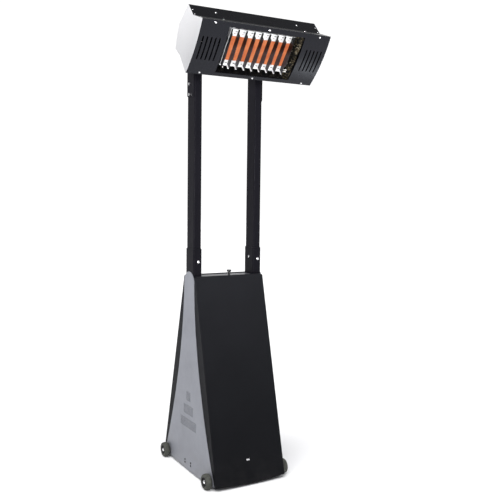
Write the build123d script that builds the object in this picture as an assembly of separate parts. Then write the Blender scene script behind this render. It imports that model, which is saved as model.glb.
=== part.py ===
from build123d import *
import math
import os

# Free-standing gas infrared patio heater.
# A wide tapered base holds the gas bottle and rolls on four wheels; two
# rectangular posts carry a tilting ceramic-plaque heater head.
# Modelled with the posts on y = 0, then moved by Y0 so that the origin lies
# under the middle of the bounding box, on the ground.  +Z up, the heated side
# faces -Y, +X is to the right of a person who faces the heater.

os.makedirs("parts", exist_ok=True)

# ------------------------------------------------------------ driving sizes
Y0 = 56.00            # shift in y to the middle of the bounding box

W = 387.0             # outer width of the base
SHEET = 2.0           # sheet thickness of the grey and black panels
XI = W / 2 - SHEET    # inner face of the grey side panels (191.5)
XB = XI - 0.5         # outer face of the black panels' side flanges

Z_TOP = 993.0         # top edge of the front and rear panels
Z_BOT = 22.0          # their bottom corners
Z_BOT_MID = 12.0      # their bottom edge at the middle
Y_TOP = 63.0          # half depth of the base at the top
Y_BOT = 304.5         # half depth at the bottom corners
SLOPE = (Y_BOT - Y_TOP) / (Z_TOP - Z_BOT)
LEAN = math.atan(SLOPE)

POLE_X = 168.0        # post centres
POLE_W, POLE_D, POLE_T = 40.0, 80.0, 2.0
POLE_Z0, POLE_Z1 = 652.0, 2092.0
SLV_W, SLV_D, SLV_T = 46.6, 86.6, 3.0     # lower sleeves round the posts
SLV_Z0, SLV_Z1 = 648.0, 1128.0

WHEEL_R = 37.5        # 75 mm wheels
WHEEL_Y = 245.5
WHEEL_X0, WHEEL_X1 = 197.0, 227.0
AXLE_R = 5.0

HINGE_Y, HINGE_Z = -284.0, 42.0           # door hinge axis
LATCH_Y = -56.5                           # latch knob axis

PIV_Y, PIV_Z = -115.0, 2085.0             # head tilt axis
BRK_X0, BRK_X1 = 188.2, 192.2             # bracket plates
EAR_X0, EAR_X1 = 192.5, 195.7             # head ears
TILT_LO, TILT_HI = -30.0, 20.0
LOCK_R = 55.0                             # radius of the tilt arc slot

HL = 335.6            # half length of the head
HT = 2.0              # head sheet thickness
P6Y, P6Z = -419.0, 2138.5                 # top front edge of the head
FACE = math.radians(38.9)                 # face tilt from vertical
SS, CS = math.sin(FACE), math.cos(FACE)

# head section, (s, t): s down along the face, t inwards
P6 = (0.0, 0.0)
P7 = (33.0, 91.0)
P1 = (20.0, 163.5)
P2 = (132.0, 196.5)
P2B = (180.0, 184.0)
P3 = (237.0, 165.0)
P4 = (236.0, 101.0)
P5 = (265.0, 2.0)
ARC = (132.5, -12.5)                      # middle of the bowed front

FIN_PITCH, FIN_N = 40.5, 9
TILE_T = 30.0                             # depth of the plaque face
WIN_X, WIN_S0, WIN_S1 = 160.0, 74.0, 193.0
OPEN_X, OPEN_S0, OPEN_S1 = 197.0, 22.0, 245.0


# ------------------------------------------------------------------ helpers
def yf(z):
    """half depth of the front or rear panel at height z"""
    return Y_TOP + SLOPE * (Z_TOP - z)


def yg(z):
    """half width of the grey side panel at height z"""
    t = (966.0 - z) / 944.0
    return 56.0 + 12.0 * t + 264.0 * t * t - 46.5 * t ** 3


def face_of(pts):
    return make_face(Polyline(*[(p[0], p[1]) for p in pts], close=True))


def prism_x(pts, x0, x1):
    return extrude(Plane.YZ.offset(x0) * face_of(pts), amount=x1 - x0)


def prism_z(pts, z0, z1):
    return extrude(Pos(0, 0, z0) * face_of(pts), amount=z1 - z0)


def box(x0, x1, y0, y1, z0, z1):
    return Pos((x0 + x1) / 2, (y0 + y1) / 2, (z0 + z1) / 2) * Box(
        abs(x1 - x0), abs(y1 - y0), abs(z1 - z0))


def cyl(p, d, r, length):
    """cylinder from point p along direction d"""
    return Plane(origin=p, z_dir=d) * Pos(0, 0, length / 2) * Cylinder(r, length)


def hexa(p, d, af, length):
    """hexagon bar across flats af from p along d"""
    f = RegularPolygon(af / 2, 6, major_radius=False)
    return extrude(Plane(origin=p, z_dir=d) * f, amount=length)


def dome(p, d, r, h):
    """button head from p along d: short rim under a spherical cap"""
    rim = 0.35 * h
    cap = h - rim
    rs = (r * r + cap * cap) / (2 * cap)
    prof = make_face([Line((0, 0), (r, 0)), Line((r, 0), (r, rim)),
                      ThreePointArc((r, rim),
                                    (rs * math.sin(0.5 * math.asin(min(1.0, r / rs))),
                                     rim + cap - rs * (1 - math.cos(0.5 * math.asin(min(1.0, r / rs))))),
                                    (0, rim + cap)),
                      Line((0, rim + cap), (0, 0))])
    s = revolve(Plane.XZ * prof, Axis.Z, 360)
    return Plane(origin=p, z_dir=d) * s


def hyz(s, t):
    """head section point to world (y, z)"""
    return (P6Y + s * SS + t * CS, P6Z - s * CS + t * SS)


HP = Plane(origin=(0, P6Y, P6Z), x_dir=(1, 0, 0), z_dir=(0, -CS, -SS))


def hbox(x0, x1, s0, s1, t0, t1):
    return HP * Pos((x0 + x1) / 2, -(s0 + s1) / 2, -(t0 + t1) / 2) * Box(
        abs(x1 - x0), abs(s1 - s0), abs(t1 - t0))


def hprism(pts, x0, x1):
    return prism_x([hyz(*p) for p in pts], x0, x1)


def hpt(x, s, t):
    y, z = hyz(s, t)
    return (x, y, z)


H_OUT = (0, -CS, -SS)        # out of the heated face
H_IN = (0, CS, SS)
H_DOWN = (0, SS, -CS)


def both(shape):
    return [shape, mirror(shape, about=Plane.YZ)]


NODES = {}


def emit(name, *shapes):
    sol = []
    for s in shapes:
        if isinstance(s, (list, tuple)):
            for k in s:
                sol += list(k.solids())
        else:
            sol += list(s.solids())
    NODES[name] = [Pos(0, Y0, 0) * s for s in sol]


def cut(shape, tools):
    for t in tools:
        shape = shape - t
    return shape


# ------------------------------------------------------------- side panels
def side_outline():
    zs = [966, 900, 820, 730, 640, 550, 460, 370, 280, 190, 100, 20]
    right = [(yg(z), z) for z in zs]
    left = [(-y, z) for y, z in right]
    e = [Spline(*right),
         ThreePointArc(right[-1], (0, 5), left[-1]),
         Spline(*reversed(left)),
         ThreePointArc(left[0], (0, 1014), right[0])]
    return make_face(e)


SIDE_BOLTS = [(36, 50), (36, 36), (-30, 50), (-30, 36)]
vents = []
for zc, ny, nz in ((384, 6, 6), (314.5, 14, 6), (245, 23, 6)):
    vents.append(Pos(0, zc) * GridLocations(8, 8, ny, nz))

sk = side_outline()
holes = []
for g in vents:
    for loc in g:
        holes.append(loc * Rectangle(5, 5))
for y, z in SIDE_BOLTS:
    holes.append(Pos(y, z) * Circle(3.1))
for y in (-WHEEL_Y, WHEEL_Y):
    holes.append(Pos(y, 37.5) * Circle(AXLE_R + 0.2))
outer = sk.faces()[0]
inner_wires = [h.faces()[0].outer_wire() for h in holes]
perf = Face(outer.outer_wire(), inner_wires)
panel_r = extrude(Plane.YZ.offset(XI) * perf, amount=SHEET)
panel_l = mirror(panel_r, about=Plane.YZ)
emit("side_panel_right", panel_r)
emit("side_panel_left", panel_l)


# ------------------------------------------------- black front / rear shells
def shell(yinner_gap):
    """front shell (towards -y): sloped face, side flanges, top return"""
    t = SHEET / math.cos(LEAN)
    zb = 4.0
    face = prism_x([(-yf(Z_TOP), Z_TOP), (-yf(zb), zb),
                    (-yf(zb) + t, zb), (-yf(Z_TOP) + t, Z_TOP)], -XB, XB)
    zs = [990, 966, 900, 820, 730, 640, 550, 460, 370, 280, 190, 100, 22]
    rear = [(-(yg(min(z, 966)) - yinner_gap), z) for z in zs]
    fl = make_face([Polyline((-yf(990) + 0.5, 990), (-yf(8) + 0.5, 8), (rear[-1][0], 8), rear[-1]),
                    Spline(*reversed(rear)),
                    Line(rear[0], (-yf(990) + 0.5, 990))])
    flange = extrude(Plane.YZ.offset(XB - SHEET) * fl, amount=SHEET)
    top = box(-XB, XB, -yf(Z_TOP) + 0.6, -46.0, Z_TOP - 2.0, Z_TOP)
    s = face + flange + mirror(flange, about=Plane.YZ) + top
    outline = make_face([Line((-XB - 1, Z_TOP - 8), (-XB - 1, Z_BOT)),
                         ThreePointArc((-XB - 1, Z_BOT), (0, Z_BOT_MID), (XB + 1, Z_BOT)),
                         Line((XB + 1, Z_BOT), (XB + 1, Z_TOP - 8)),
                         Polyline((XB + 1, Z_TOP - 8), (XB - 8, Z_TOP + 1), (-XB + 8, Z_TOP + 1),
                                  (-XB - 1, Z_TOP - 8))])
    mask = extrude(Plane.XZ.offset(-20) * outline, amount=420)
    s = s & mask
    return s


front = shell(8.0)
# rounded bends along the two long front corners
try:
    eds = [e for e in front.edges() if e.length > 800 and abs(abs(e.center().X) - XB) < 0.01
           and abs(e.center().Y + yf(e.center().Z)) < 0.6]
    front = fillet(eds, 2.6)
except Exception as ex:
    print("front bend fillet skipped", ex)
rear = mirror(front, about=Plane.XZ)

# door: hinge ears, latch hole, two screws low on the face
ears = []
for x0 in (178.0, -182.0):
    e = prism_x([(-yf(52) + 1.5, 52), (-yf(32) + 1.5, 32), (HINGE_Y + 2, 33.5),
                 (HINGE_Y + 8.0, HINGE_Z), (HINGE_Y + 2, 50.5)], x0, x0 + 4)
    ears.append(e)
door = front + ears[0] + ears[1]
door = cut(door, [cyl((170, HINGE_Y, HINGE_Z), (1, 0, 0), 3.06, 15),
                  cyl((-185, HINGE_Y, HINGE_Z), (1, 0, 0), 3.06, 15),
                  cyl((0, LATCH_Y, 980), (0, 0, 1), 5.05, 20)])
NF = (0, -math.cos(LEAN), math.sin(LEAN))          # out of the front face
for x in (-10.5, -1.5):
    door = door - cyl((x, -yf(119.5) + 4, 119.5 - 1), NF, 2.05, 8)
emit("front_door", door)
ds = []
for x in (-10.5, -1.5):
    p = (x, -yf(119.5), 119.5)
    ds.append(dome(p, NF, 4.2, 2.2) + cyl((x, p[1] + 3.4 * math.cos(LEAN), p[2] - 3.4 * math.sin(LEAN)), NF, 2.0, 3.6))
emit("door_lock_screws", ds)

# rear panel: control recess cut-out and screw holes
NR = (0, math.cos(LEAN), math.sin(LEAN))           # out of the rear face
RP = Plane(origin=(0, yf(820), 820), x_dir=(-1, 0, 0), z_dir=NR)
rear = rear - (RP * Box(92, 56, 20))
cps, cph = [], []
for sx in (-1, 1):
    for sy in (-1, 1):
        q = RP * Pos(sx * 49, sy * 31, 0)
        cps.append(q * (Pos(0, 0, 2.41) * Cylinder(3.2, 1.4) + Pos(0, 0, -0.9) * Cylinder(1.5, 5.3)))
        cph.append(q * Cylinder(1.55, 14))
rear = cut(rear, cph)
REAR_SCREWS = [(x, z) for x in (-182, 182) for z in (60, 500, 940)]
bottle_vent = []
for r in range(6):
    for c in range(-4, 5):
        bottle_vent.append(RP * Pos(c * 22.0, -430 - r * 14.0, 0) * Box(16, 5, 20))
rear = cut(rear, bottle_vent)
hole_r, rs = [], []
for x, z in [(-175, 80), (175, 80), (-175, 620), (175, 620), (-150, 960), (150, 960)]:
    p = (x, yf(z), z)
    hole_r.append(cyl((x, yf(z) - 6 * math.cos(LEAN), z - 6 * math.sin(LEAN)), NR, 2.1, 12))
    rs.append(dome(p, NR, 4.5, 2.4) + cyl((x, yf(z) - 5 * math.cos(LEAN), z - 5 * math.sin(LEAN)), NR, 2.0, 5.1))
rear = cut(rear, hole_r)
emit("rear_panel", rear)

# top plate between the sleeves
SX_IN = POLE_X - SLV_W / 2
tp = box(-SX_IN + 0.3, SX_IN - 0.3, -44.5, 45.5, 988.0, 990.0)
tp = tp + box(-SX_IN + 0.3, -SX_IN + 2.3, -44.5, 45.5, 972, 988.2) \
        + box(SX_IN - 2.3, SX_IN - 0.3, -44.5, 45.5, 972, 988.2)
emit("top_plate", tp)

# latch on the door: knob and tongue
lk = cyl((0, LATCH_Y, 984.0), (0, 0, 1), 5.0, 30.0)
lk = lk + cyl((0, LATCH_Y, Z_TOP + 0.3), (0, 0, 1), 6.0, 18.2)
cap = Pos(0, LATCH_Y, 1016.2) * Cylinder(11.2, 10.0)
cap = fillet(cap.edges().filter_by(GeomType.CIRCLE), 2.8)
lk = lk + cap
emit("latch_knob", lk)
tg = box(-5.4, 24, LATCH_Y - 5.0, LATCH_Y + 5.0, 981.0, 984.0)
tg = fillet(tg.edges().filter_by(Axis.Z), 4.0)
emit("latch_tongue", tg)

# hinge arms on the tray and pins
arms = []
for x0 in (172.0, -176.0):
    a = prism_x([(-236, 28.5), (-236, 58), (-262, 54), (-284, 49.5), (-290.5, 45), (-290.5, 39),
                 (-284, 35.5), (-262, 33), (-246, 28.5)], x0, x0 + 4)
    arms.append(a - cyl((x0 - 1, HINGE_Y, HINGE_Z), (1, 0, 0), 3.0, 6))
pins = []
for sx in (1, -1):
    pn = cyl((sx * 172.0, HINGE_Y, HINGE_Z), (sx, 0, 0), 3.0, 13.0)
    pn = pn + cyl((sx * 169.6, HINGE_Y, HINGE_Z), (sx, 0, 0), 4.6, 2.4)
    pins.append(pn)
emit("hinge_pins", pins)

# -------------------------------------------------------------- base tray
LIP_X = XI - 0.2
tray = box(-LIP_X, LIP_X, -238, 256, 26, 28.5) + box(-187, 187, 255, 276, 26, 28.5)
for sx in (1, -1):
    a, b = sorted((sx * (LIP_X - 3), sx * LIP_X))
    tray = tray + prism_x([(-256, 24), (-256, 58), (-40, 66), (40, 66), (256, 58), (256, 24)], a, b)
tray = tray + box(-187, 187, 273.5, 276, 26, 48)
tray = tray + box(-168, 168, -238, -235.5, 26, 44)
# low ring that centres the bottle on the floor
ring = Pos(0, 0, 31.5) * (Cylinder(152, 6) - Cylinder(149.5, 8))
tray = tray + ring
tools = []
for sx in (1, -1):
    for y in (-WHEEL_Y, WHEEL_Y):
        tools.append(cyl((sx * 184, y, 37.5), (sx, 0, 0), AXLE_R + 0.1, 10))
    for y, z in SIDE_BOLTS:
        tools.append(cyl((sx * 184, y, z), (sx, 0, 0), 3.1, 10))
tray = cut(tray, tools)
tray = tray + arms[0] + arms[1]
emit("base_tray", tray)

sb = []
for sx in (1, -1):
    for y, z in SIDE_BOLTS:
        b = dome((sx * W / 2, y, z), (sx, 0, 0), 5.2, 3.0)
        b = b + cyl((sx * 180.0, y, z), (sx, 0, 0), 3.0, W / 2 - 180.0 + 0.5)
        sb.append(b)
sn = []
for sx in (1, -1):
    for y, z in SIDE_BOLTS:
        n = hexa((sx * 185.4, y, z), (-sx, 0, 0), 10.0, 5.0) - cyl((sx * 186, y, z), (-sx, 0, 0), 3.0, 8)
        sn.append(n)
emit("side_panel_bolts", sb, sn)


# inner frame channels from the tray to the sleeves
def channel(sx):
    a, b = sorted((sx * 185.6, sx * 188.1))
    c = box(a, b, -52, 52, 28.5, 645.5)
    i, o = sorted((sx * 163.0, sx * 188.1))
    c = c + box(i, o, -52, -49.5, 28.5, 645.5) + box(i, o, 49.5, 52, 28.5, 645.5)
    o2 = sorted((sx * 144.7, sx * 191.3))
    c = c + box(o2[0], o2[1], -52, 52, 645.5, 648.0)
    c = c - cyl((sx * POLE_X, 0, 640), (0, 0, 1), 8.0, 12)
    c = cut(c, [cyl((sx * 184, y, z), (sx, 0, 0), 3.1, 6) for y, z in SIDE_BOLTS])
    return c


emit("frame_channel_right", channel(1))
emit("frame_channel_left", channel(-1))

# shelf between the channels
shelf = box(-144.4, 144.4, -44, 44, 645.5, 648.0) + box(-144.4, 144.4, -44, -41.5, 633, 646) \
    + box(-144.4, 144.4, 41.5, 44, 633, 646)
emit("cross_shelf", shelf)


# sleeves and posts
def tube(x, w, d, r, t, z0, z1):
    o = extrude(Pos(x, 0, z0) * RectangleRounded(w, d, r), amount=z1 - z0)
    i = extrude(Pos(x, 0, z0 - 1) * RectangleRounded(w - 2 * t, d - 2 * t, max(r - t, 0.8)), amount=z1 - z0 + 2)
    return o - i


# sleeve bolts: front face and inner side face
SLV_BOLTS = [(-164.0, 1064.0), (173.0, 1070.0)]
SIDE_Z = 1079.0
tools = [cyl((x, -SLV_D / 2 - 2, z), (0, 1, 0), 4.05, 12) for x, z in SLV_BOLTS]
tools += [cyl((sx * (SX_IN - 2), -2, SIDE_Z), (sx, 0, 0), 4.05, 12) for sx in (1, -1)]
tools += [cyl((x, SLV_D / 2 + 2, z), (0, -1, 0), 4.05, 12) for x, z in SLV_BOLTS]
for nm, sx in (("right", 1), ("left", -1)):
    s = tube(sx * POLE_X, SLV_W, SLV_D, 6.3, SLV_T, SLV_Z0, SLV_Z1)
    s = cut(s, tools)
    emit("pole_sleeve_" + nm, s)
BR_BOLTS = [(9.0, 1929.0), (9.0, 1878.0)]
ptools = [cyl((sx * (POLE_X + 14), y, z), (sx, 0, 0), 4.05, 12) for sx in (1, -1) for y, z in BR_BOLTS]
for nm, sx in (("right", 1), ("left", -1)):
    p = tube(sx * POLE_X, POLE_W, POLE_D, 5.0, POLE_T, POLE_Z0, POLE_Z1)
    p = cut(p, tools + ptools)
    emit("pole_" + nm, p)
slb = []
for x, z in SLV_BOLTS:
    for d in (1, -1):
        slb.append(dome((x, -d * SLV_D / 2, z), (0, -d, 0), 7.0, 4.0)
                   + cyl((x, -d * (SLV_D / 2 + 0.2), z), (0, d, 0), 4.0, 9.5))
for sx in (1, -1):
    slb.append(dome((sx * SX_IN, -2, SIDE_Z), (-sx, 0, 0), 6.4, 3.6)
               + cyl((sx * (SX_IN - 0.2), -2, SIDE_Z), (sx, 0, 0), 4.0, 9.5))

# post caps with a gas outlet boss on the left one
caps = []
for sx in (1, -1):
    c = extrude(Pos(sx * POLE_X, 0, POLE_Z1) * RectangleRounded(POLE_W, POLE_D, 5.0), amount=4.0)
    c = c + extrude(Pos(sx * POLE_X, 0, POLE_Z1 - 16) * RectangleRounded(35.8, 75.8, 3.0), amount=16.2)
    if sx < 0:
        c = c - cyl((sx * POLE_X, 0, POLE_Z1 - 20), (0, 0, 1), 5.0, 30)
    caps.append(c)
emit("pole_caps", caps)


# ---------------------------------------------------------- head brackets
def arc_slot(x0, x1, r, a0, a1, half):
    """annular slot about the tilt axis, ends rounded; angles in the y-z plane"""
    n = 10
    ang = [math.radians(a0 + (a1 - a0) * k / n) for k in range(n + 1)]
    outp = [(PIV_Y + (r + half) * math.cos(a), PIV_Z + (r + half) * math.sin(a)) for a in ang]
    inp = [(PIV_Y + (r - half) * math.cos(a), PIV_Z + (r - half) * math.sin(a)) for a in ang]
    m0, m1 = math.radians((a0 + a1) / 2), 0
    om = (PIV_Y + (r + half) * math.cos(m0), PIV_Z + (r + half) * math.sin(m0))
    im = (PIV_Y + (r - half) * math.cos(m0), PIV_Z + (r - half) * math.sin(m0))

    def endcap(a, sgn):
        c = (PIV_Y + r * math.cos(a), PIV_Z + r * math.sin(a))
        return (c[0] - sgn * half * math.sin(a), c[1] + sgn * half * math.cos(a))
    f = make_face([ThreePointArc(inp[0], im, inp[-1]),
                   ThreePointArc(inp[-1], endcap(ang[-1], 1), outp[-1]),
                   ThreePointArc(outp[-1], om, outp[0]),
                   ThreePointArc(outp[0], endcap(ang[0], -1), inp[0])])
    return extrude(Plane.YZ.offset(x0) * f, amount=x1 - x0)


def bracket():
    pl = prism_x([(-36, 1868), (36, 1868), (36, 2052), (6, 2112), (-60, 2128), (PIV_Y, PIV_Z + 34),
                  (PIV_Y, PIV_Z - 34), (-62, 2030), (-36, 1986)], BRK_X0, BRK_X1)
    pl = pl + cyl((BRK_X0, PIV_Y, PIV_Z), (1, 0, 0), 34.0, BRK_X1 - BRK_X0)
    try:
        ve = [e for e in pl.edges().filter_by(Axis.X)
              if abs(abs(e.center().Y) - 36) < 0.5 and (e.center().Z < 1870 or e.center().Z > 2000)]
        pl = fillet(ve, 8.0)
    except Exception as ex:
        print("bracket corner fillet skipped", ex)
    pl = pl - cyl((BRK_X0 - 1, PIV_Y, PIV_Z), (1, 0, 0), 6.0, 8)
    pl = cut(pl, [cyl((BRK_X0 - 1, y, z), (1, 0, 0), 4.05, 8) for y, z in BR_BOLTS])
    pl = pl - arc_slot(BRK_X0 - 1, BRK_X1 + 1, LOCK_R, TILT_LO - 1.0, TILT_HI + 1.0, 4.5)
    return pl


br = bracket()
emit("head_bracket_right", br)
emit("head_bracket_left", mirror(br, about=Plane.YZ))
bb, pb, lb = [], [], []
for sx in (1, -1):
    for y, z in BR_BOLTS:
        bb.append(hexa((sx * BRK_X1, y, z), (sx, 0, 0), 13.0, 5.5)
                  + cyl((sx * (BRK_X1 + 0.2), y, z), (-sx, 0, 0), 4.0, 14))
    pb.append(cyl((sx * 180.2, PIV_Y, PIV_Z), (sx, 0, 0), 6.0, 16.2)
              + dome((sx * 196.2, PIV_Y, PIV_Z), (sx, 0, 0), 10.5, 5.0)
              + hexa((sx * 188.2, PIV_Y, PIV_Z), (-sx, 0, 0), 18.0, 8.0))
    lb.append(cyl((sx * 181.5, PIV_Y + LOCK_R, PIV_Z), (sx, 0, 0), 4.0, 14.4)
              + hexa((sx * 187.9, PIV_Y + LOCK_R, PIV_Z), (-sx, 0, 0), 13.0, 6.4)
              + hexa((sx * EAR_X1, PIV_Y + LOCK_R, PIV_Z), (sx, 0, 0), 13.0, 5.5))
emit("pole_bolts", slb, bb)
emit("tilt_pivot_bolts", pb)
emit("tilt_lock_bolts", lb)


# ------------------------------------------------------------------ head
def section_face():
    o5, o6 = hyz(*P5), hyz(*P6)
    return make_face([ThreePointArc(o6, hyz(*ARC), o5),
                      Polyline(o5, hyz(*P4), hyz(*P3), hyz(*P2B), hyz(*P2), hyz(*P1), hyz(*P7), o6)])


sec = section_face()
secin = offset(sec, amount=-HT, kind=Kind.INTERSECTION)
XE = HL - HT                   # inner face of the end plates
ringsolid = extrude(Plane.YZ.offset(-XE) * sec, amount=2 * XE) - \
    extrude(Plane.YZ.offset(-XE - 1) * secin, amount=2 * XE + 2)
reg_f = [(-30, -40), (300, -40), (300, 4.9), (264.0, 4.4), (140, 3.2), (-30, 2.15)]
reg_h = [(-40, 0.0), (6.0, 0.0), (48, 91), (23.3, 161.9), (16, 172), (-40, 172)]
fascia = ringsolid & hprism(reg_f, -XE - 2, XE + 2)
hood = (ringsolid & hprism(reg_h, -XE - 2, XE + 2)) - hprism(reg_f, -XE - 2, XE + 2)
back = ringsolid - hprism(reg_f, -XE - 2, XE + 2) - hprism(reg_h, -XE - 2, XE + 2)

# fascia: burner opening and cooling slots
fascia = fascia - hbox(-OPEN_X, OPEN_X, OPEN_S0, OPEN_S1, -30, 30)
slot_x = [228.0, 248.4, 268.7, 289.4, 309.8]
for sx in (1, -1):
    for x in slot_x:
        sl = extrude(HP * (Pos(sx * x, -131.0) * SlotOverall(112.0, 7.2, rotation=90)), amount=30, both=True)
        fascia = fascia - sl
# screws on fascia, hood
F_SCREWS = [(-268, 11), (3, 11), (275, 11), (-270, 255), (4, 257), (278, 256)]


BOW_S, BOW_T, BOW_R = 127.643, 644.52, 657.04      # centre and radius of the bowed front


def arc_t(s):
    """t of the bowed front at s"""
    return BOW_T - math.sqrt(BOW_R ** 2 - (s - BOW_S) ** 2)


def wdir(v):
    """head section direction to a world vector"""
    return (0, v[0] * SS + v[1] * CS, -v[0] * CS + v[1] * SS)


scr, fh, hh = [], [], []
for x, s in F_SCREWS:
    t = arc_t(s)
    sa = (BOW_S - s) / BOW_R
    ca = math.sqrt(1 - sa * sa)
    nn = wdir((-sa, -ca))
    scr.append(dome(hpt(x, s, t), nn, 4.6, 2.6) + cyl(hpt(x, s + 6.5 * sa, t + 6.5 * ca), nn, 2.2, 6.7))
    fh.append(cyl(hpt(x, s + 9 * sa, t + 9 * ca), nn, 2.3, 14))
fascia = cut(fascia, fh)


def dirn(a, b):
    d = (b[0] - a[0], b[1] - a[1])
    L = math.hypot(*d)
    return (d[0] / L, d[1] / L), L


def on_strip(a, b, f, inw=0.0):
    """point on the strip a-b at distance f from a, moved inwards (into the head) by inw"""
    (dx, dy), L = dirn(a, b)
    return (a[0] + dx * f + dy * inw, a[1] + dy * f - dx * inw)


(h67x, h67y), L67 = dirn(P6, P7)
(h71x, h71y), L71 = dirn(P7, P1)
n67 = wdir((-h67y, h67x))       # outward of strip P6-P7
n71 = wdir((-h71y, h71x))       # outward of strip P7-P1
riv = []
for x, f in ((-211, L71 - 34), (216, L71 - 38)):
    s, t = on_strip(P7, P1, f)
    si, ti = on_strip(P7, P1, f, 5)
    scr.append(dome(hpt(x, s, t), n71, 4.6, 2.6) + cyl(hpt(x, si, ti), n71, 2.2, 5.2))
    hh.append(cyl(hpt(x, *on_strip(P7, P1, f, 8)), n71, 2.3, 14))
for x, f in ((-190.6, L67 - 9), (244.7, L67 - 9)):
    s, t = on_strip(P6, P7, f)
    si, ti = on_strip(P6, P7, f, 5)
    scr.append(dome(hpt(x, s, t), n67, 4.6, 2.6) + cyl(hpt(x, si, ti), n67, 2.2, 5.2))
    hh.append(cyl(hpt(x, *on_strip(P6, P7, f, 8)), n67, 2.3, 14))
for sx in (1, -1):
    for (A, B, f, nn) in ((P7, P1, L71 - 36, n71), (P7, P1, 6.0, n71), (P6, P7, 40.0, n67)):
        s, t = on_strip(A, B, f)
        riv.append(dome(hpt(sx * 325, s, t), nn, 3.2, 1.6) + cyl(hpt(sx * 325, *on_strip(A, B, f, 4)), nn, 1.6, 4.2))
        hh.append(cyl(hpt(sx * 325, *on_strip(A, B, f, 7)), nn, 1.7, 12))
hood = cut(hood, hh)
emit("fascia", fascia)
emit("top_hood", hood)

# end plates
for nm, sx in (("right", 1), ("left", -1)):
    a = XE if sx > 0 else -HL
    ep = extrude(Plane.YZ.offset(a) * sec, amount=HT)
    emit("end_plate_" + nm, ep)

# back cover: cooling louvres, gas inlet hole, ear screws
(g1x, g1y), Lg = dirn(P2, P2B)
(gbx, gby), Lb = dirn(P2B, P3)
n_b = (-gby, gbx)
if n_b[1] < 0:
    n_b = (-n_b[0], -n_b[1])                 # outward of the lower back strip
n_bw = wdir(n_b)
(gtx, gty), Lt = dirn(P1, P2)
n_t = (-gty, gtx)
if n_t[1] < 0:
    n_t = (-n_t[0], -n_t[1])
n_tw = wdir(n_t)


def strip_box(A, B, x0, x1, f0, f1, e0, e1):
    """block on strip A-B, f along it, e outwards"""
    (dx, dy), L = dirn(A, B)
    nx, ny = (-dy, dx)
    if ny < 0:
        nx, ny = -nx, -ny
    q = []
    for f, e in ((f0, e0), (f1, e0), (f1, e1), (f0, e1)):
        q.append((A[0] + dx * f + nx * e, A[1] + dy * f + ny * e))
    return hprism(q, x0, x1)


lv = []
for k in range(13):
    xc = -240 + 40 * k
    lv.append(strip_box(P1, P2, xc - 15, xc + 15, 30, 36, -6, 6))
    lv.append(strip_box(P1, P2, xc - 15, xc + 15, 52, 58, -6, 6))
    lv.append(strip_box(P1, P2, xc - 15, xc + 15, 74, 80, -6, 6))
back = cut(back, lv)
# gas inlet on the lower rear strip
gi = (P2B[0] + gbx * 30, P2B[1] + gby * 30)
GX = -95.0
back = back - cyl(hpt(GX, gi[0] - n_b[0] * 6, gi[1] - n_b[1] * 6), n_bw, 8.1, 12)
ear_scr, eh = [], []
for sx in (1, -1):
    for f in (14.0, 46.0):
        q = (P2B[0] + gbx * f, P2B[1] + gby * f)
        eh.append(cyl(hpt(sx * 210, q[0] - n_b[0] * 5, q[1] - n_b[1] * 5), n_bw, 3.1, 12))
        ear_scr.append(hexa(hpt(sx * 210, q[0] + n_b[0] * 3.2, q[1] + n_b[1] * 3.2), n_bw, 10.0, 4.0)
                       + cyl(hpt(sx * 210, q[0] - n_b[0] * 7, q[1] - n_b[1] * 7), n_bw, 3.0, 10.4))
back = cut(back, eh)
emit("back_cover", back)

gin = cyl(hpt(GX, gi[0] - n_b[0] * 14, gi[1] - n_b[1] * 14), n_bw, 8.0, 24.0)
gin = gin + hexa(hpt(GX, *gi), n_bw, 22.0, 5.0) + hexa(hpt(GX, gi[0] + n_b[0] * 9, gi[1] + n_b[1] * 9), n_bw, 19.0, 7.0)
gin = gin + cyl(hpt(GX, gi[0] + n_b[0] * 15, gi[1] + n_b[1] * 15), n_bw, 4.5, 16)
emit("gas_inlet_fitting", gin)


emit("head_screws", scr, riv, ear_scr)


# ears
def ear():
    def w(s, t):
        return hyz(s, t)
    a = (P2B[0] + gbx * 5, P2B[1] + gby * 5)
    b = (P2B[0] + gbx * (Lb - 4), P2B[1] + gby * (Lb - 4))
    a0 = w(a[0] + n_b[0] * 0.2, a[1] + n_b[1] * 0.2)
    b0 = w(b[0] + n_b[0] * 0.2, b[1] + n_b[1] * 0.2)
    pts = [a0, b0, (PIV_Y - 4, PIV_Z - 22), (PIV_Y + LOCK_R + 2, PIV_Z - 13),
           (PIV_Y + LOCK_R + 2, PIV_Z + 13), (PIV_Y - 4, PIV_Z + 24)]
    e = prism_x(pts, EAR_X0, EAR_X1)
    e = e + cyl((EAR_X0, PIV_Y, PIV_Z), (1, 0, 0), 22.0, EAR_X1 - EAR_X0)
    e = e + cyl((EAR_X0, PIV_Y + LOCK_R, PIV_Z), (1, 0, 0), 13.0, EAR_X1 - EAR_X0)
    fl = strip_box(P2B, P3, EAR_X0, 224.0, 5, Lb - 4, 0.0, 3.2)
    e = e + fl
    e = e - cyl((EAR_X0 - 1, PIV_Y, PIV_Z), (1, 0, 0), 6.05, 8)
    e = e - cyl((EAR_X0 - 1, PIV_Y + LOCK_R, PIV_Z), (1, 0, 0), 4.0, 8)
    for f in (14.0, 46.0):
        q = (P2B[0] + gbx * f, P2B[1] + gby * f)
        e = e - cyl(hpt(210, q[0] - n_b[0] * 5, q[1] - n_b[1] * 5), n_bw, 3.1, 12)
    return e


er = ear()
emit("head_ears", both(er))


# ------------------------------------------------- burner inside the head
def frustum(x0, s0, s1, t0, x1, s2, s3, t1, grow):
    fa = HP * Pos(0, -(s0 + s1) / 2, -t0) * Rectangle(2 * (x0 + grow), (s1 - s0) + 2 * grow)
    fb = HP * Pos(0, -(s2 + s3) / 2, -t1) * Rectangle(2 * (x1 + grow), (s3 - s2) + 2 * grow)
    return loft([fa.faces()[0], fb.faces()[0]])


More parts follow.
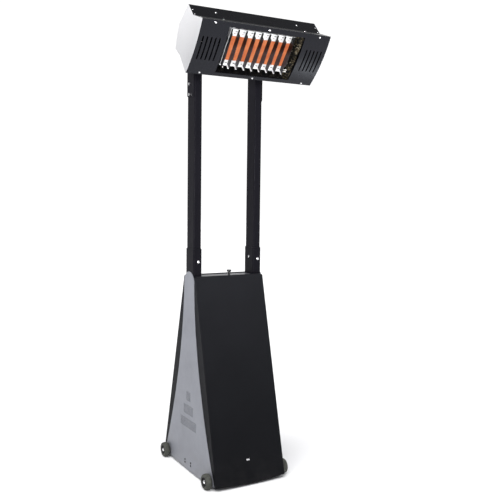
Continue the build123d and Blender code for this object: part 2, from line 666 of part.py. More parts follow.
refl = frustum(195.0, 24.0, 243.0, 0.5, 169.0, 40.0, 221.0, 27.0, 1.4) - \
    frustum(196.0, 23.4, 243.6, -0.5, 168.0, 40.6, 220.4, 28.0, 0.0)
for s, r in ((214.0, 3.6), (204.0, 3.2)):
    refl = refl - cyl(hpt(178.0, s, 60), H_OUT, r + 0.2, 60)
emit("reflector", refl)

clampf = hbox(-172, 172, 36, 225, 27.2, 29.2) - hbox(-WIN_X, WIN_X, WIN_S0, WIN_S1, 20, 40)
clampf = clampf + (hbox(-172, 172, 36, 225, 29.0, 44.0) - hbox(-170.4, 170.4, 37.6, 223.4, 20, 50))
cs = []
for k in range(FIN_N - 1):
    xc = -162 + FIN_PITCH * (k + 0.5)
    cs.append(hbox(xc - 5, xc + 6.5, 49, 53, 20, 40))
    cs.append(hbox(xc - 8, xc - 1, 60, 63.2, 20, 40))
    cs.append(hbox(xc - 6, xc + 5, 204, 208.5, 20, 40))
clampf = cut(clampf, cs)
emit("plaque_frame", clampf)

tiles = []
NT = 4
tw = (2 * WIN_X + 10 - (NT - 1) * 1.0) / NT
for k in range(NT):
    x0 = -WIN_X - 5 + k * (tw + 1.0)
    tiles.append(hbox(x0, x0 + tw, WIN_S0 - 6, WIN_S1 + 6, TILE_T, TILE_T + 12))
emit("ceramic_plaques", tiles)

plen = hbox(-168, 168, 62, 205, 42.2, 86) - hbox(-166, 166, 64, 203, 41, 84)
plen = plen - cyl(hpt(-60, 133.5, 80), H_IN, 18.0, 12)
emit("burner_plenum", plen)
mix = cyl(hpt(-60, 133.5, 84.2), H_IN, 18.0, 22) + cyl(hpt(-140, 133.5, 106), (1, 0, 0), 17.0, 97)
mix = mix - cyl(hpt(-60, 133.5, 80), H_IN, 15.5, 24) - cyl(hpt(-141, 133.5, 106), (1, 0, 0), 14.8, 92)
bell = Plane(origin=hpt(-140, 133.5, 106), z_dir=(-1, 0, 0)) * Pos(0, 0, 8) * Cone(17.0, 19.4, 16)
bell = bell - Plane(origin=hpt(-140, 133.5, 106), z_dir=(-1, 0, 0)) * Pos(0, 0, 8) * Cone(14.8, 17.4, 16.4)
mix = mix + bell
inj = hexa(hpt(-172, 133.5, 106), (1, 0, 0), 14.0, 14) + cyl(hpt(-160, 133.5, 106), (1, 0, 0), 4.0, 10)
emit("gas_injector", inj)
injb = hbox(-176, -172, 106, 161, 98, 114) - cyl(hpt(-178, 133.5, 106), (1, 0, 0), 4.0, 12)
injb = injb + hbox(-176, -152, 106, 108.6, 98, 114) + hbox(-176, -152, 158.4, 161, 98, 114)
injb = injb + hbox(-154, -151.6, 106, 161, 98, 114) - cyl(hpt(-165, 133.5, 106), (1, 0, 0), 22.5, 20)
emit("mixing_tube", mix + injb)

# guard: dark upright blades standing off the frame, each with a bright flanged lower edge
BLADE_X0 = -132.5                          # second blade; the first stands close to the recess wall
blade_pts = [(41.5, 27.2), (38.0, 15.0), (54.0, 13.0), (58.0, -0.5), (173.0, -8.0), (178.0, 0.5),
             (222.0, 0.5), (214.0, 27.2)]
first_pts = [(41.5, 27.2), (38.0, 17.0), (54.0, 16.0), (58.0, 9.0), (173.0, 1.0), (178.0, 4.5),
             (221.0, 4.5), (214.0, 27.2)]
fins, feet = [], []
for k in range(FIN_N):
    xb = -166.4 if k == 0 else BLADE_X0 + FIN_PITCH * (k - 1)
    pts = first_pts if k == 0 else blade_pts
    fins.append(hprism(pts, xb - 0.8, xb + 0.8))
    so, to = pts[6]
    fx = (xb + 0.8, xb + 6.2) if k == 0 else (xb - 6.2, xb - 0.8)
    feet.append(hprism([(so, to), (so - 1.7, to), (212.3, 27.2), (214.0, 27.2)], *fx))
fins[-1] = fins[-1] + hbox(xb + 5.6, 168.4, 41.5, 212.0, 25.4, 27.2) + hbox(xb, xb + 6.0, 41.5, 212.0, 25.4, 27.2)
emit("guard_strips", fins)
emit("guard_feet", feet)

# spark electrode and flame sensor beside the plaques
el = []
for s, r in ((214.0, 3.6), (204.0, 3.2)):
    e = cyl(hpt(178.0, s, 60), H_OUT, r, 38) + cyl(hpt(178.0, s, 24), H_OUT, 1.3, 9)
    e = e + cyl(hpt(178.6, s, 16.3), (-1, 0, 0), 1.3, 19)
    el.append(e)
emit("spark_electrodes", el)

# ---------------------------------------------------------------- wheels
tyre_prof = make_face([Line((WHEEL_X0, 24.5), (WHEEL_X0, 29.0)),
                       ThreePointArc((WHEEL_X0, 29.0), (WHEEL_X0 + 1.6, 33.6), (WHEEL_X0 + 5.5, 36.2)),
                       ThreePointArc((WHEEL_X0 + 5.5, 36.2), (212.0, WHEEL_R), (WHEEL_X1 - 5.5, 36.2)),
                       ThreePointArc((WHEEL_X1 - 5.5, 36.2), (WHEEL_X1 - 1.6, 33.6), (WHEEL_X1, 29.0)),
                       Line((WHEEL_X1, 29.0), (WHEEL_X1, 24.5)),
                       Line((WHEEL_X1, 24.5), (WHEEL_X0, 24.5))])
hub_pts = [(198.0, AXLE_R + 0.06), (198.0, 24.5), (226.0, 24.5), (226.0, 22.0), (219.5, 20.5), (218.0, 12.5),
           (222.0, 11.0), (222.0, AXLE_R + 0.06)]
hub_prof = make_face(Polyline(*hub_pts, close=True))
tyre = revolve(tyre_prof, Axis.X, 360)
hub = revolve(hub_prof, Axis.X, 360)
ribs = []
for k in range(5):
    rb = Rot(72 * k + 36, 0, 0) * (Pos(220.5, 0, 16.5) * Box(4.0, 3.0, 9.5))
    ribs.append(rb)
for rb in ribs:
    hub = hub + rb
axles, acaps, spac = [], [], []
for yn, ys in (("front", -1), ("rear", 1)):
    for xn, sx in (("left", -1), ("right", 1)):
        ty, hb = tyre, hub
        if sx < 0:
            ty, hb = mirror(ty, about=Plane.YZ), mirror(hb, about=Plane.YZ)
        loc = Pos(0, ys * WHEEL_Y, WHEEL_R)
        emit(f"tyre_{yn}_{xn}", loc * ty)
        emit(f"wheel_hub_{yn}_{xn}", loc * hb)
        c = (sx * 178.0, ys * WHEEL_Y, WHEEL_R)
        a = cyl(c, (sx, 0, 0), AXLE_R, 223.5 - 178.0)
        axles.append(a + cyl((sx * 193.6, ys * WHEEL_Y, WHEEL_R), (sx, 0, 0), 9.0, 4.0)
                     + hexa((sx * 188.0, ys * WHEEL_Y, WHEEL_R), (-sx, 0, 0), 15.0, 7.0))
        cp = dome((sx * 222.3, ys * WHEEL_Y, WHEEL_R), (sx, 0, 0), 9.0, 6.4) - \
            cyl((sx * 221.0, ys * WHEEL_Y, WHEEL_R), (sx, 0, 0), AXLE_R, 2.5)
        acaps.append(cp)
emit("wheel_axles", axles)
emit("axle_caps", acaps)


# --------------------------------------------- gas valve, controls, wiring
def on_rear(x, up, out):
    """point on the rear face frame centred on z = 820"""
    return (x, yf(820) + out * NR[1] - up * math.sin(LEAN), 820 + out * NR[2] + up * math.cos(LEAN))


cplate = RP * (Pos(0, 0, 0.9) * Box(108, 72, 1.6))
cpo = RP * (Pos(24, 0, 0.9) * Cylinder(9.0, 8))
cpb = RP * (Pos(-26, 0, 0.9) * Cylinder(8.15, 8))
cplate = cplate - cpo - cpb
try:
    cplate = fillet(cplate.edges().filter_by(lambda e: e.length < 2 and e.length > 1), 5.0)
except Exception as ex:
    print("control plate fillet skipped", ex)
cplate = cut(cplate, cph)
emit("control_plate", cplate)
emit("rear_panel_screws", rs, cps)
# knob on a push-in spindle (x = +24 in the face frame is world x = -24)
knob = RP * (Pos(24, 0, 12.4) * Cylinder(17.0, 15.0))
knob = fillet(knob.edges().filter_by(GeomType.CIRCLE).sort_by(Axis.Y)[-1:], 2.5)
flutes = []
for k in range(12):
    a = math.radians(30 * k + 15)
    flutes.append(RP * (Pos(24 + 19.2 * math.cos(a), 19.2 * math.sin(a), 12.4) * Cylinder(3.4, 20)))
knob = cut(knob, flutes)
knob = knob + RP * (Pos(24, 7.5, 20.2) * Box(2.6, 15, 2.0))
knob = knob - RP * (Pos(24, 0, 9.0) * Cylinder(4.06, 16))
emit("control_knob", knob)
stem = RP * (Pos(24, 0, 2.5) * Cylinder(4.0, 25.0))
emit("valve_spindle", stem)
valve = RP * (Pos(24, 0, -30) * Box(40, 44, 36)) - RP * (Pos(24, 0, -16) * Cylinder(4.15, 24))
valve = valve + RP * (Pos(24, -28, -34) * Cylinder(8, 12, rotation=(90, 0, 0)))
emit("gas_valve", valve)
btn = RP * (Pos(-26, 0, 3.0) * Cylinder(8.0, 17.0))
btn = fillet(btn.edges().filter_by(GeomType.CIRCLE).sort_by(Axis.Y)[-1:], 1.6)
emit("igniter_button", btn)
ign = RP * (Pos(-26, 0, -27) * Cylinder(13.0, 26.0)) - RP * (Pos(-26, 0, -14) * Cylinder(8.2, 20.0))
emit("igniter_module", ign)
tsw = box(40, 82, -20, 14, 648.0, 676.0)
tsw = fillet(tsw.edges().filter_by(Axis.Z), 3)
emit("tilt_switch", tsw)

# supply pipe from the valve down to the channel and up inside the left post
pipe_pts = [on_rear(-24, -34, -34), (-24, 112.5, 700.0), (-90, 84, 622.0), (-128, 0, 612.0),
            (-POLE_X, 0, 640.0), (-POLE_X, 0, 2112.0)]
try:
    ln = FilletPolyline(*pipe_pts, radius=[22, 26, 26, 18])
    prof = Plane(origin=ln @ 0, z_dir=ln % 0) * Circle(4.0)
    pipe = sweep(prof, path=ln)
    print("pipe length", round(ln.length, 1), "volume ratio", round(pipe.volume / (math.pi * 16 * ln.length), 4))
except Exception as ex:
    print("pipe failed", ex)
elb = cyl((-POLE_X, 0, 2106.2), (0, 0, 1), 7.5, 14) - cyl((-POLE_X, 0, 2100), (0, 0, 1), 4.0, 12.2)
elb = elb + hexa((-POLE_X, 0, 2096.2), (0, 0, 1), 19.0, 10.0) - cyl((-POLE_X, 0, 2090), (0, 0, 1), 4.0, 22.0)
emit("gas_riser_pipe", pipe, elb)

# ------------------------------------------------------------------ export
lo, hi = [1e9] * 3, [-1e9] * 3
for name, sols in NODES.items():
    shape = sols[0] if len(sols) == 1 else Compound(sols)
    bbx = shape.bounding_box()
    for i, (a, b) in enumerate(zip((bbx.min.X, bbx.min.Y, bbx.min.Z), (bbx.max.X, bbx.max.Y, bbx.max.Z))):
        lo[i], hi[i] = min(lo[i], a), max(hi[i], b)
    export_step(shape, f"parts/{name}.step")
print(len(NODES), "nodes", [round(v, 2) for v in lo], [round(v, 2) for v in hi])
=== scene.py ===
import math
import random

import bpy
import bmesh
from mathutils import Matrix, Vector

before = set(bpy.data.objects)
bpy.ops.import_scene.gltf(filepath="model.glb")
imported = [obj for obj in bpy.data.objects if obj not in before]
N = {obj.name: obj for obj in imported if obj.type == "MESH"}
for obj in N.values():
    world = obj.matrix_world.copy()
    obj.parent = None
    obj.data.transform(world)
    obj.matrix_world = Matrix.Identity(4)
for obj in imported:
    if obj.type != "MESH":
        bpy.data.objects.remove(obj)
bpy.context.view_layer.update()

Y0 = 0.056

# --------------------------------------------------------------- camera
yaw, pitch, roll = math.radians(29.97), math.radians(4.53), math.radians(0.71)
fwd = Vector((math.sin(yaw) * math.cos(pitch), math.cos(yaw) * math.cos(pitch), -math.sin(pitch)))
right = Vector((math.cos(yaw), -math.sin(yaw), 0.0))
up = right.cross(fwd)
r2 = right * math.cos(roll) + up * math.sin(roll)
u2 = up * math.cos(roll) - right * math.sin(roll)
cam_data = bpy.data.cameras.new("camera")
cam_data.sensor_width = 36.0
cam_data.lens = 51.56
cam_data.clip_end = 200.0
cam = bpy.data.objects.new("camera", cam_data)
bpy.context.scene.collection.objects.link(cam)
cam.matrix_world = Matrix((
    (r2.x, u2.x, -fwd.x, -1.6928),
    (r2.y, u2.y, -fwd.y, -3.1997 + Y0),
    (r2.z, u2.z, -fwd.z, 1.4035),
    (0, 0, 0, 1)))
bpy.context.scene.camera = cam
bpy.context.scene.view_settings.view_transform = "Standard"

# ----------------------------------------------------- floor and lights
bm = bmesh.new()
bmesh.ops.create_grid(bm, x_segments=2, y_segments=2, size=30.0)
me = bpy.data.meshes.new("floor")
bm.to_mesh(me)
bm.free()
floor = bpy.data.objects.new("floor", me)
bpy.context.scene.collection.objects.link(floor)

world = bpy.data.worlds.new("studio")
bpy.context.scene.world = world
world.use_nodes = True
wt = world.node_tree
bg = wt.nodes["Background"]
tc = wt.nodes.new("ShaderNodeTexCoord")
dot = wt.nodes.new("ShaderNodeVectorMath")
dot.operation = "DOT_PRODUCT"
dot.inputs[1].default_value = (0.5, 0.866, 0.12)
wt.links.new(tc.outputs["Generated"], dot.inputs[0])
wr = wt.nodes.new("ShaderNodeValToRGB")
stops = [(0.0, (0.26, 0.26, 0.28)), (0.30, (0.30, 0.30, 0.32)), (0.62, (0.36, 0.36, 0.375)),
         (0.82, (0.50, 0.50, 0.51)), (0.925, (1.0, 1.0, 1.0))]
el = wr.color_ramp.elements
while len(el) < len(stops):
    el.new(0.5)
for e, (pos, c) in zip(el, stops):
    e.position = pos
    e.color = (*c, 1.0)
mr = wt.nodes.new("ShaderNodeMapRange")
mr.inputs["From Min"].default_value = -1.0
mr.inputs["From Max"].default_value = 1.0
wt.links.new(dot.outputs["Value"], mr.inputs["Value"])
wt.links.new(mr.outputs["Result"], wr.inputs["Fac"])
lp = wt.nodes.new("ShaderNodeLightPath")
wm = wt.nodes.new("ShaderNodeMix")
wm.data_type = "RGBA"
wm.inputs[7].default_value = (1.0, 1.0, 1.0, 1.0)
wt.links.new(lp.outputs["Is Camera Ray"], wm.inputs[0])
wt.links.new(wr.outputs["Color"], wm.inputs[6])
wt.links.new(wm.outputs[2], bg.inputs["Color"])
bg.inputs["Strength"].default_value = 1.08

sun_data = bpy.data.lights.new("overhead", "SUN")
sun_data.energy = 3.1
sun_data.angle = 1.0
sun = bpy.data.objects.new("overhead", sun_data)
bpy.context.scene.collection.objects.link(sun)
sun.rotation_euler = Vector((-0.35, -0.35, 0.87)).to_track_quat("Z", "Y").to_euler()


def area(name, loc, aim, size, power, color=(1, 1, 1)):
    d = bpy.data.lights.new(name, "AREA")
    d.shape = "RECTANGLE"
    d.size, d.size_y = size
    d.energy = power
    d.color = color
    o = bpy.data.objects.new(name, d)
    bpy.context.scene.collection.objects.link(o)
    o.location = loc
    v = Vector(aim) - Vector(loc)
    o.rotation_euler = v.to_track_quat("-Z", "Y").to_euler()
    return o


area("key", (-2.2, 0.6, 3.2), (0, 0, 1.4), (1.4, 1.4), 9)
area("front_fill", (1.7, -2.9, 2.9), (0, -0.2, 1.0), (1.2, 1.2), 9)
area("camera_fill", (-2.6, -4.7, 1.7), (0.0, -0.3, 1.98), (0.9, 0.9), 13).data.spread = 0.6
area("low_kick", (1.62, -0.75, 0.05), (0.30, -0.3, 1.9), (0.55, 0.5), 5, (0.86, 0.92, 1.0))


# ------------------------------------------------------------- materials
def lin(c):
    return tuple(x / 12.92 if x <= 0.04045 else ((x + 0.055) / 1.055) ** 2.4 for x in c)


class Mat:
    """small helper round a node material"""

    def __init__(self, name, color, rough, metal=0.0, spec=0.5):
        self.m = bpy.data.materials.new(name)
        self.m.use_nodes = True
        self.t = self.m.node_tree
        self.b = self.t.nodes["Principled BSDF"]
        self.color = color
        self.b.inputs["Base Color"].default_value = (*color, 1)
        self.b.inputs["Roughness"].default_value = rough
        self.b.inputs["Metallic"].default_value = metal
        self.b.inputs["Specular IOR Level"].default_value = spec
        self.coord = self.t.nodes.new("ShaderNodeTexCoord")
        self.normal = None

    def link(self, a, b):
        self.t.links.new(a, b)

    def mapping(self, scale=(1, 1, 1), rot=(0, 0, 0)):
        mp = self.t.nodes.new("ShaderNodeMapping")
        mp.inputs["Scale"].default_value = scale
        mp.inputs["Rotation"].default_value = rot
        self.link(self.coord.outputs["Object"], mp.inputs["Vector"])
        return mp.outputs["Vector"]

    def noise(self, scale, detail=2.0, rough=0.5, vec=None, distortion=0.0):
        n = self.t.nodes.new("ShaderNodeTexNoise")
        n.inputs["Scale"].default_value = scale
        n.inputs["Detail"].default_value = detail
        n.inputs["Roughness"].default_value = rough
        n.inputs["Distortion"].default_value = distortion
        self.link(vec if vec is not None else self.coord.outputs["Object"], n.inputs["Vector"])
        return n.outputs["Fac"]

    def voronoi(self, scale, feature="F1", vec=None, out="Distance", randomness=1.0):
        n = self.t.nodes.new("ShaderNodeTexVoronoi")
        n.feature = feature
        n.inputs["Scale"].default_value = scale
        n.inputs["Randomness"].default_value = randomness
        self.link(vec if vec is not None else self.coord.outputs["Object"], n.inputs["Vector"])
        return n.outputs[out]

    def ramp(self, fac, stops):
        r = self.t.nodes.new("ShaderNodeValToRGB")
        el = r.color_ramp.elements
        while len(el) < len(stops):
            el.new(0.5)
        for e, (p, c) in zip(el, stops):
            e.position = p
            e.color = (*c, 1) if len(c) == 3 else c
        self.link(fac, r.inputs["Fac"])
        return r.outputs["Color"]

    def maprange(self, fac, a, b, c, d):
        r = self.t.nodes.new("ShaderNodeMapRange")
        for k, v in zip(("From Min", "From Max", "To Min", "To Max"), (a, b, c, d)):
            r.inputs[k].default_value = v
        self.link(fac, r.inputs["Value"])
        return r.outputs["Result"]

    def math(self, op, a, b):
        n = self.t.nodes.new("ShaderNodeMath")
        n.operation = op
        for i, v in enumerate((a, b)):
            if isinstance(v, (int, float)):
                n.inputs[i].default_value = v
            else:
                self.link(v, n.inputs[i])
        return n.outputs["Value"]

    def mix(self, fac, a, b, mode="MIX"):
        n = self.t.nodes.new("ShaderNodeMix")
        n.data_type = "RGBA"
        n.blend_type = mode
        if isinstance(fac, (int, float)):
            n.inputs[0].default_value = fac
        else:
            self.link(fac, n.inputs[0])
        for sock, v in ((n.inputs[6], a), (n.inputs[7], b)):
            if isinstance(v, tuple):
                sock.default_value = (*v, 1) if len(v) == 3 else v
            else:
                self.link(v, sock)
        return n.outputs[2]

    def bump(self, height, dist, strength=1.0):
        n = self.t.nodes.new("ShaderNodeBump")
        n.inputs["Distance"].default_value = dist
        n.inputs["Strength"].default_value = strength
        self.link(height, n.inputs["Height"])
        if self.normal is not None:
            self.link(self.normal, n.inputs["Normal"])
        self.normal = n.outputs["Normal"]
        self.link(self.normal, self.b.inputs["Normal"])

    def bevel(self, radius, samples=4):
        n = self.t.nodes.new("ShaderNodeBevel")
        n.samples = samples
        n.inputs["Radius"].default_value = radius
        self.normal = n.outputs["Normal"]
        self.link(self.normal, self.b.inputs["Normal"])
        return n.outputs["Normal"]

    def edge(self, radius, lo=0.9985, hi=0.94):
        """0 on flat, 1 at edges: how far a bevelled normal leaves the true one"""
        n = self.t.nodes.new("ShaderNodeBevel")
        n.samples = 4
        n.inputs["Radius"].default_value = radius
        g = self.t.nodes.new("ShaderNodeNewGeometry")
        d = self.t.nodes.new("ShaderNodeVectorMath")
        d.operation = "DOT_PRODUCT"
        self.link(n.outputs["Normal"], d.inputs[0])
        self.link(g.outputs["Normal"], d.inputs[1])
        return self.maprange(d.outputs["Value"], lo, hi, 0.0, 1.0)

    def set(self, name, value):
        if isinstance(value, (int, float, tuple)):
            self.b.inputs[name].default_value = value
        else:
            self.link(value, self.b.inputs[name])

    def sep(self):
        s = self.t.nodes.new("ShaderNodeSeparateXYZ")
        self.link(self.coord.outputs["Object"], s.inputs[0])
        return s.outputs


def sc(c, k):
    return tuple(v * k for v in c)


def powder(name, color, rough=0.42, spec=0.5, grain=1.0, speck=0.12, dust=0.0, edge_col=None,
           painted_height_shade=None):
    """powder coat: fine orange peel, slight cloudiness, a little edge wear, and an optional painted shade that darkens
    it towards the bottom and lightens it towards the top
    """
    m = Mat(name, color, rough, 0.0, spec)
    m.bevel(0.0009)
    cloud = m.noise(5.0, 3.0)
    fine = m.noise(1400.0, 2.0, 0.6)
    c = m.mix(m.maprange(cloud, 0.3, 0.7, 0.0, 1.0), sc(color, 0.93), sc(color, 1.07))
    c = m.mix(m.maprange(fine, 0.55, 0.75, 0.0, speck), c, sc(color, 2.2))
    # painted shade: the colour is multiplied darker towards the bottom and lighter towards the top
    if painted_height_shade is not None:
        tone = m.maprange(m.sep()[2], *painted_height_shade)
        c = m.mix(1.0, c, tone, "MULTIPLY")
    if edge_col is not None:
        e = m.edge(0.0012)
        wearn = m.noise(60.0, 3.0)
        fac = m.math("MULTIPLY", e, m.maprange(wearn, 0.45, 0.7, 0.05, 0.7))
        c = m.mix(fac, c, edge_col)
    if dust > 0:
        z = m.sep()[2]
        low = m.maprange(z, 0.16, 0.0, 0.0, dust)
        dn = m.noise(22.0, 4.0)
        c = m.mix(m.math("MULTIPLY", low, m.maprange(dn, 0.35, 0.7, 0.0, 1.0)), c, (0.16, 0.15, 0.14))
    m.set("Base Color", c)
    rr = m.maprange(m.noise(34.0, 3.0), 0.3, 0.7, rough - 0.05, rough + 0.05)
    m.set("Roughness", rr)
    m.bump(m.noise(520.0, 2.0), 0.00012 * grain, 0.6)
    return m.m


def brushed(name, color, rough=0.3, along=(1, 0, 0), scale=900.0, metal=1.0, tint=None, depth=0.00006):
    """metal with fine straight brushing along one direction"""
    m = Mat(name, color, rough, metal, 0.5)
    m.bevel(0.0006)
    s = tuple(scale * (0.012 if a else 1.0) for a in along)
    v = m.mapping(s)
    streak = m.noise(1.0, 3.0, 0.6, v)
    cloud = m.noise(7.0, 3.0)
    c = m.mix(m.maprange(streak, 0.3, 0.7, 0.0, 1.0), sc(color, 0.92), sc(color, 1.05))
    c = m.mix(m.maprange(cloud, 0.35, 0.75, 0.0, 0.25), c, sc(color, 0.85))
    if tint is not None:
        tn = m.noise(16.0, 4.0, 0.55, distortion=0.6)
        c = m.mix(m.maprange(tn, 0.45, 0.7, 0.0, 0.85), c, tint)
    m.set("Base Color", c)
    m.set("Roughness", m.maprange(streak, 0.25, 0.75, rough - 0.06, rough + 0.08))
    m.bump(streak, depth, 0.5)
    return m.m


def end_steel(name):
    """bead-polished end sheet with painted shade: its tone falls away towards the lower edge, and a painted highlight
    lightens it towards the front
    """
    m = Mat(name, (0.8, 0.8, 0.81), 0.4, 0.75, 0.5)
    m.bevel(0.0006)
    o = m.sep()
    streak = m.noise(1.0, 3.0, 0.6, m.mapping((900.0, 11.0, 900.0)))
    # painted shade: darker towards the lower edge
    painted_height_shade = m.maprange(o[2], 1.98, 2.19, 0.0, 1.0)
    # painted highlight: lighter towards the front edge
    painted_front_highlight = m.maprange(o[1], -0.30, -0.18, 0.0, 1.0)
    c = m.mix(painted_height_shade, (0.60, 0.60, 0.615), (0.95, 0.95, 0.96))
    c = m.mix(m.math("MULTIPLY", painted_front_highlight, 0.30), c, (0.97, 0.97, 0.975))
    c = m.mix(m.maprange(streak, 0.3, 0.7, 0.0, 0.10), c, (0.60, 0.60, 0.61))
    c = m.mix(m.math("MULTIPLY", m.edge(0.0012), 0.6), c, (0.35, 0.35, 0.36))
    ax = m.math("ABSOLUTE", o[0], 0.0)
    outer = m.maprange(ax, 0.33385, 0.33445, 0.0, 1.0)
    c = m.mix(outer, (0.012, 0.011, 0.011), c)
    m.set("Base Color", c)
    m.set("Roughness", m.maprange(streak, 0.25, 0.75, 0.34, 0.5))
    m.bump(streak, 0.00005, 0.5)
    return m.m


def plastic(name, color, rough=0.45, grain=500.0, depth=0.0001, spec=0.45):
    m = Mat(name, color, rough, 0.0, spec)
    m.bevel(0.0005)
    c = m.mix(m.maprange(m.noise(30.0, 3.0), 0.3, 0.7, 0, 1), sc(color, 0.9), sc(color, 1.12))
    m.set("Base Color", c)
    m.set("Roughness", m.maprange(m.noise(90.0, 3.0), 0.3, 0.7, rough - 0.06, rough + 0.06))
    m.bump(m.voronoi(grain), depth, 0.5)
    return m.m


def glow(name):
    """glowing honeycomb plaque: orange, hotter in patches, fine flame holes"""
    m = Mat(name, (0.30, 0.085, 0.035), 0.8, 0.0, 0.2)
    patch = m.noise(26.0, 4.0, 0.55)
    holes = m.voronoi(640.0, "F1", None, "Distance", 0.25)
    col = m.ramp(patch, [(0.30, (0.47, 0.115, 0.040)), (0.5, (0.58, 0.165, 0.060)), (0.72, (0.66, 0.225, 0.090))])
    hf = m.maprange(holes, 0.12, 0.36, 0.62, 1.0)
    colx = m.mix(hf, (0.35, 0.06, 0.02), col)
    m.set("Base Color", m.mix(0.75, colx, (0.05, 0.014, 0.008)))
    m.link(colx, m.b.inputs["Emission Color"])
    m.b.inputs["Emission Strength"].default_value = 0.80
    m.bump(holes, 0.0005, 0.6)
    return m.m


def rubber(name, color):
    m = Mat(name, color, 0.72, 0.0, 0.35)
    m.bevel(0.0006)
    c = m.mix(m.maprange(m.noise(45.0, 4.0), 0.35, 0.7, 0, 1), sc(color, 0.7), sc(color, 1.35))
    c = m.mix(m.maprange(m.noise(900.0, 2.0), 0.55, 0.8, 0.0, 0.35), c, sc(color, 2.2))
    m.set("Base Color", c)
    m.set("Roughness", m.maprange(m.noise(60.0, 3.0), 0.3, 0.7, 0.62, 0.85))
    m.bump(m.noise(700.0, 3.0), 0.0002, 0.6)
    return m.m


def heat_steel(name):
    """dark heat-tinted sheet with brown and straw flecks, and a painted reflection: a bright patch high on the left
    wall
    """
    m = Mat(name, (0.05, 0.045, 0.04), 0.3, 1.0, 0.5)
    m.bevel(0.0006)
    n1 = m.noise(48.0, 5.0, 0.65, distortion=1.2)
    n2 = m.noise(9.0, 3.0, 0.5)
    c = m.ramp(n1, [(0.36, (0.006, 0.007, 0.008)), (0.5, (0.018, 0.017, 0.014)), (0.57, (0.10, 0.078, 0.045)),
                    (0.64, (0.26, 0.24, 0.19)), (0.74, (0.05, 0.07, 0.055))])
    c = m.mix(m.maprange(n2, 0.42, 0.62, 0.0, 0.7), c, (0.006, 0.006, 0.007))
    o = m.sep()
    right_wall = m.maprange(o[0], 0.160, 0.172, 0.12, 1.0)
    c = m.mix(right_wall, (0.006, 0.006, 0.007), c)
    # painted reflection: the left wall is made bright high up, where the polished reflector mirrors the light
    left = m.maprange(o[0], -0.163, -0.168, 0.0, 1.0)
    high = m.maprange(o[2], 2.085, 2.094, 0.0, 1.0)
    c = m.mix(m.math("MULTIPLY", left, high), c, (0.85, 0.86, 0.87))
    m.set("Base Color", c)
    m.set("Roughness", m.maprange(m.noise(40.0, 3.0), 0.3, 0.7, 0.26, 0.46))
    m.bump(m.noise(160.0, 3.0), 0.0003, 0.5)
    return m.m


def blade_steel(name):
    """blackened blades with painted shade: deep black high up and greyer towards the lower end"""
    m = Mat(name, (0.01, 0.01, 0.011), 0.42, 0.0, 0.25)
    m.bevel(0.0004)
    o = m.sep()
    # painted shade: the blades are darkest high up and greyer towards the lower end
    low = m.maprange(o[2], 2.07, 2.045, 0.0, 1.0)
    n1 = m.noise(55.0, 4.0, 0.6, distortion=0.5)
    fac = m.math("MULTIPLY", low, m.maprange(n1, 0.3, 0.7, 0.45, 1.0))
    c = m.mix(fac, (0.0016, 0.0014, 0.0018), (0.040, 0.041, 0.046))
    c = m.mix(m.maprange(m.noise(30.0, 3.0), 0.62, 0.75, 0.0, 0.35), c, (0.035, 0.008, 0.003))
    m.set("Base Color", c)
    m.set("Roughness", m.maprange(m.noise(70.0, 3.0), 0.3, 0.7, 0.36, 0.52))
    m.bump(m.noise(300.0, 3.0), 0.0001, 0.5)
    return m.m


M = {
    # the black panels carry a painted shade: darker towards the bottom, lighter towards the top
    "black_panel": powder("black_panel", (0.0122, 0.0126, 0.0146), 0.40, 0.03, painted_height_shade=(0.05, 0.95, 0.62, 1.12), dust=0.04, speck=0.3, edge_col=(0.022, 0.022, 0.025)),
    "black_post": powder("black_post", (0.0082, 0.0078, 0.0105), 0.34, 0.03, speck=0.3, edge_col=(0.03, 0.03, 0.034)),
    "black_head": powder("black_head", (0.0045, 0.0049, 0.0078), 0.24, 0.22, grain=0.6, speck=0.3, edge_col=(0.022, 0.022, 0.026)),
    "black_hood": powder("black_hood", (0.0022, 0.0023, 0.0032), 0.30, 0.08, grain=0.6, speck=0.3,
                         edge_col=(0.03, 0.03, 0.034)),
    "grey_panel": powder("grey_panel", (0.208, 0.216, 0.243), 0.46, 0.4, speck=0.10, dust=0.35,
                         edge_col=(0.5, 0.5, 0.52)),
    "light_plate": powder("light_plate", (0.088, 0.090, 0.10), 0.4, 0.4),
    "satin": brushed("satin_steel", (0.86, 0.865, 0.87), 0.33, (1, 0, 0)),
    "satin_end": end_steel("satin_end"),
    "frame": brushed("plaque_frame_steel", (0.95, 0.955, 0.96), 0.42, (1, 0, 0), metal=0.35),
    "foot": brushed("bright_feet", (0.93, 0.93, 0.94), 0.4, (0, 1, 0), metal=0.3),
    "zinc": brushed("zinc_plate", (0.82, 0.82, 0.83), 0.24, (1, 0, 0), 400.0),
    "dark_bolt": brushed("dark_bolt", (0.03, 0.03, 0.034), 0.4, (1, 0, 0), 400.0, 0.7),
    "galv": brushed("galvanised", (0.55, 0.57, 0.58), 0.42, (1, 1, 0), 200.0),
    "chrome": brushed("bright_cap", (0.9, 0.9, 0.9), 0.12, (1, 0, 0), 500.0),
    "heat": heat_steel("heat_steel"),
    "heat_dark": brushed("heat_dark", (0.028, 0.026, 0.026), 0.38, (0, 1, 0), 500.0, 0.8),
    "blade": blade_steel("blade_steel"),
    "brass": brushed("brass", (0.75, 0.55, 0.25), 0.3, (0, 0, 1), 500.0),
    "pipe": brushed("coated_pipe", (0.25, 0.25, 0.26), 0.45, (0, 0, 1), 300.0, 0.6),
    "black_plastic": plastic("black_plastic", (0.012, 0.012, 0.013), 0.42),
    "hub_plastic": plastic("hub_plastic", (0.014, 0.014, 0.014), 0.5),
    "red_plastic": plastic("red_plastic", (0.35, 0.02, 0.015), 0.3),
    "porcelain": plastic("porcelain", (0.8, 0.79, 0.76), 0.2, 200.0, 0.00003, 0.6),
    "rubber": rubber("wheel_rubber", (0.058, 0.060, 0.051)),
    "glow": glow("glowing_plaque"),
}

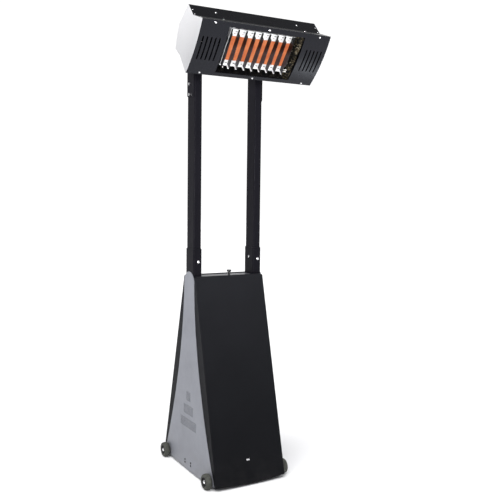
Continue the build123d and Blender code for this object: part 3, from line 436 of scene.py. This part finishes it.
USE = {
    "base_tray": "galv", "side_panel_left": "grey_panel", "side_panel_right": "grey_panel",
    "rear_panel": "black_panel", "rear_panel_screws": "dark_bolt", "top_plate": "light_plate",
    "side_panel_bolts": "dark_bolt", "frame_channel_left": "galv", "frame_channel_right": "galv",
    "cross_shelf": "galv", "pole_sleeve_left": "black_post", "pole_sleeve_right": "black_post",
    "pole_left": "black_post", "pole_right": "black_post", "pole_bolts": "zinc", "pole_caps": "black_plastic",
    "head_bracket_left": "black_post", "head_bracket_right": "black_post", "tilt_pivot_bolts": "zinc",
    "hinge_pins": "zinc", "wheel_axles": "zinc", "axle_caps": "chrome", "control_plate": "black_plastic",
    "gas_valve": "brass", "igniter_module": "black_plastic", "tilt_switch": "black_plastic",
    "gas_riser_pipe": "pipe", "front_door": "black_panel", "door_lock_screws": "zinc",
    "latch_knob": "black_plastic", "latch_tongue": "zinc", "valve_spindle": "brass",
    "control_knob": "black_plastic", "igniter_button": "red_plastic", "fascia": "black_head",
    "top_hood": "black_hood", "end_plate_left": "satin_end", "end_plate_right": "satin_end",
    "back_cover": "black_head", "reflector": "heat", "plaque_frame": "frame", "ceramic_plaques": "glow",
    "guard_strips": "blade", "guard_feet": "foot", "burner_plenum": "heat_dark", "mixing_tube": "heat_dark",
    "gas_injector": "brass", "spark_electrodes": "porcelain", "head_screws": "zinc", "head_ears": "black_post",
    "tilt_lock_bolts": "zinc", "gas_inlet_fitting": "brass",
}
for n in ("front", "rear"):
    for k in ("left", "right"):
        USE[f"tyre_{n}_{k}"] = "rubber"
        USE[f"wheel_hub_{n}_{k}"] = "hub_plastic"
for node, key in USE.items():
    o = N[node]
    o.data.materials.clear()
    o.data.materials.append(M[key])

fm = Mat("floor_paint", (0.92, 0.92, 0.92), 0.9, 0.0, 0.0)
fm.set("Base Color", fm.mix(fm.maprange(fm.noise(1.5, 2.0), 0.3, 0.7, 0, 1), (0.915, 0.915, 0.915), (0.93, 0.93, 0.93)))
floor.data.materials.append(fm.m)
